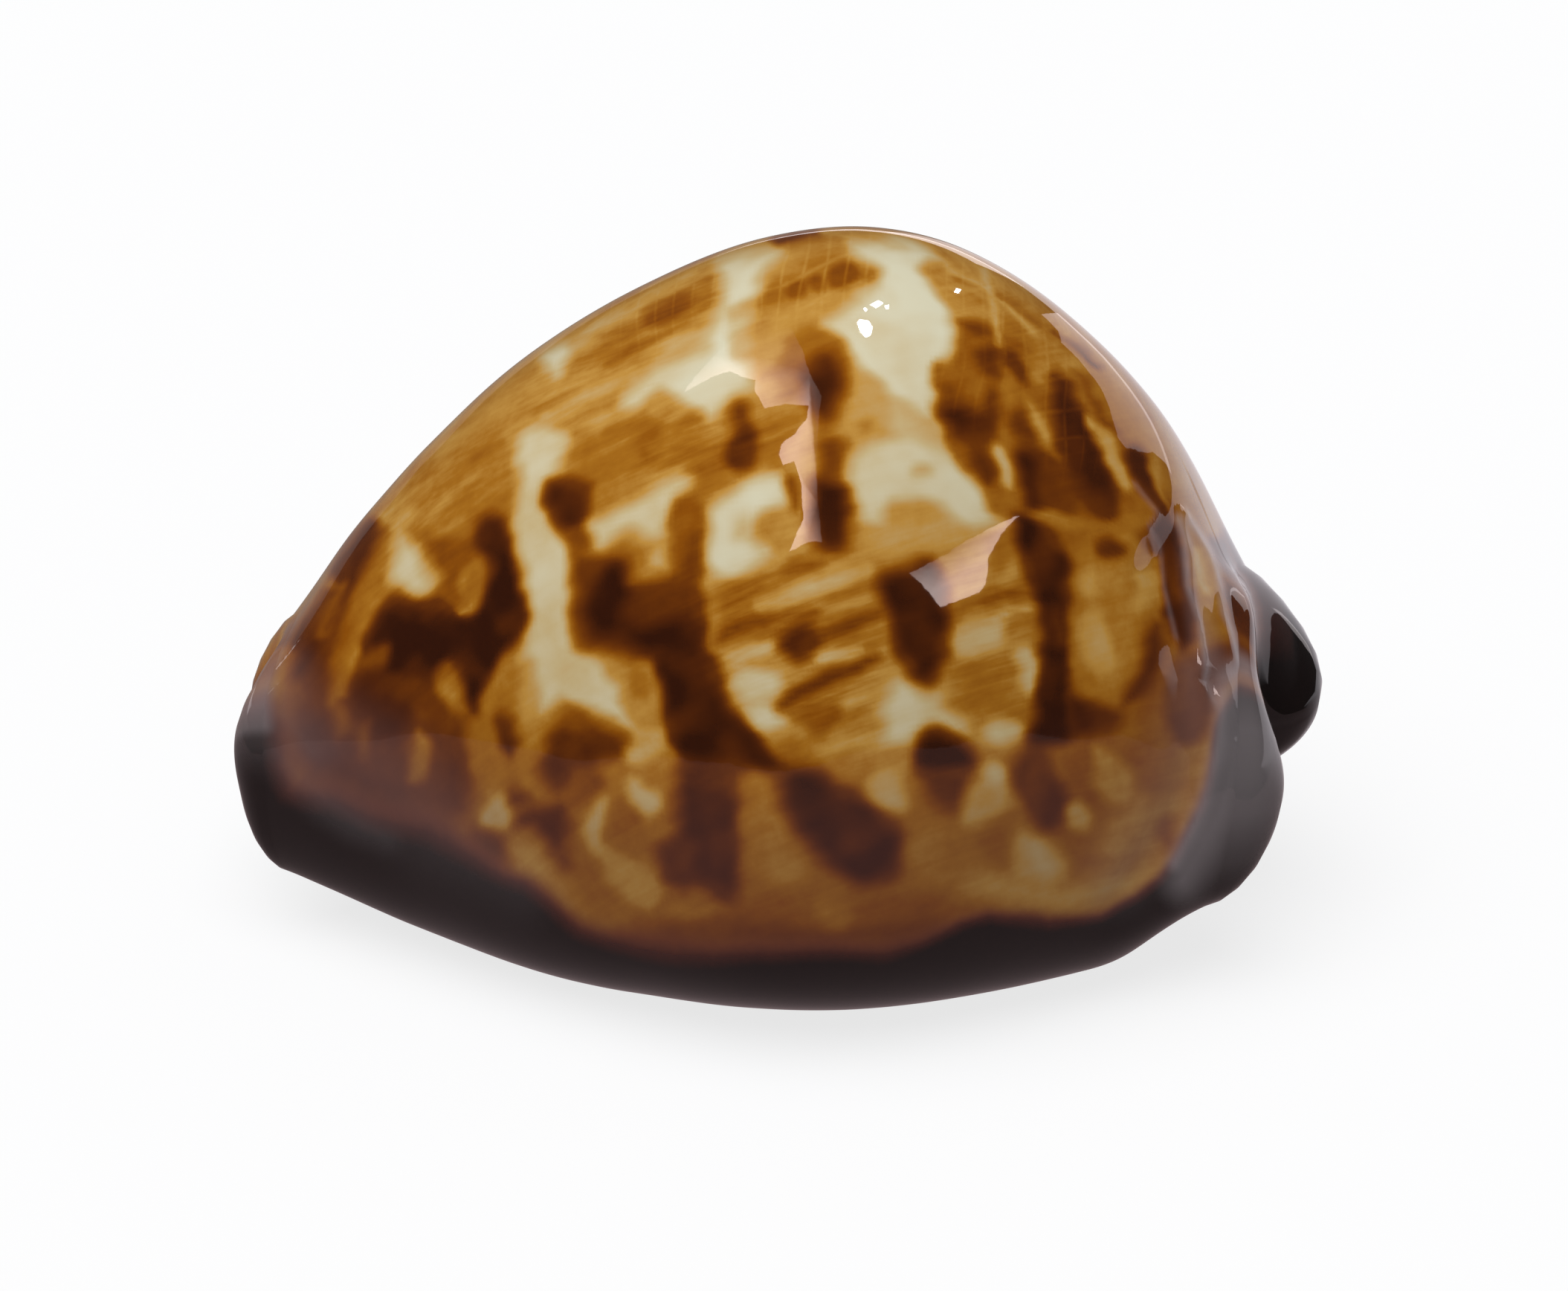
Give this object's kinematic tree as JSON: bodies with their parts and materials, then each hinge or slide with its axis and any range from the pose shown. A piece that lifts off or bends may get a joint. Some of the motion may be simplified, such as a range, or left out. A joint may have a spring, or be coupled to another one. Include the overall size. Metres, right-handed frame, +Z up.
{
  "type": "cowrie shell",
  "caption": "Humped, pear-shaped cowrie shell, glossy, with mottled cream and brown back, dark toothed base, and a slot along the underside; rests on its base.",
  "frame": {"origin": "on the resting surface, under the middle of the shell's bounding box", "axes": "+X towards the spire end, -X towards the front end; +Y towards the outer lip's side, -Y towards the inner lip's side; +Z up, away from the base"},
  "size_m": [0.0578, 0.038, 0.0378],
  "materials": {
    "polished_shell": "naturally polished porcelain gloss; cream back with caramel, golden and dark brown blotches, dark brown to black margins, ends and base"
  },
  "bodies": {
    "root": {"shell": "polished_shell"}
  },
  "joints": []
}
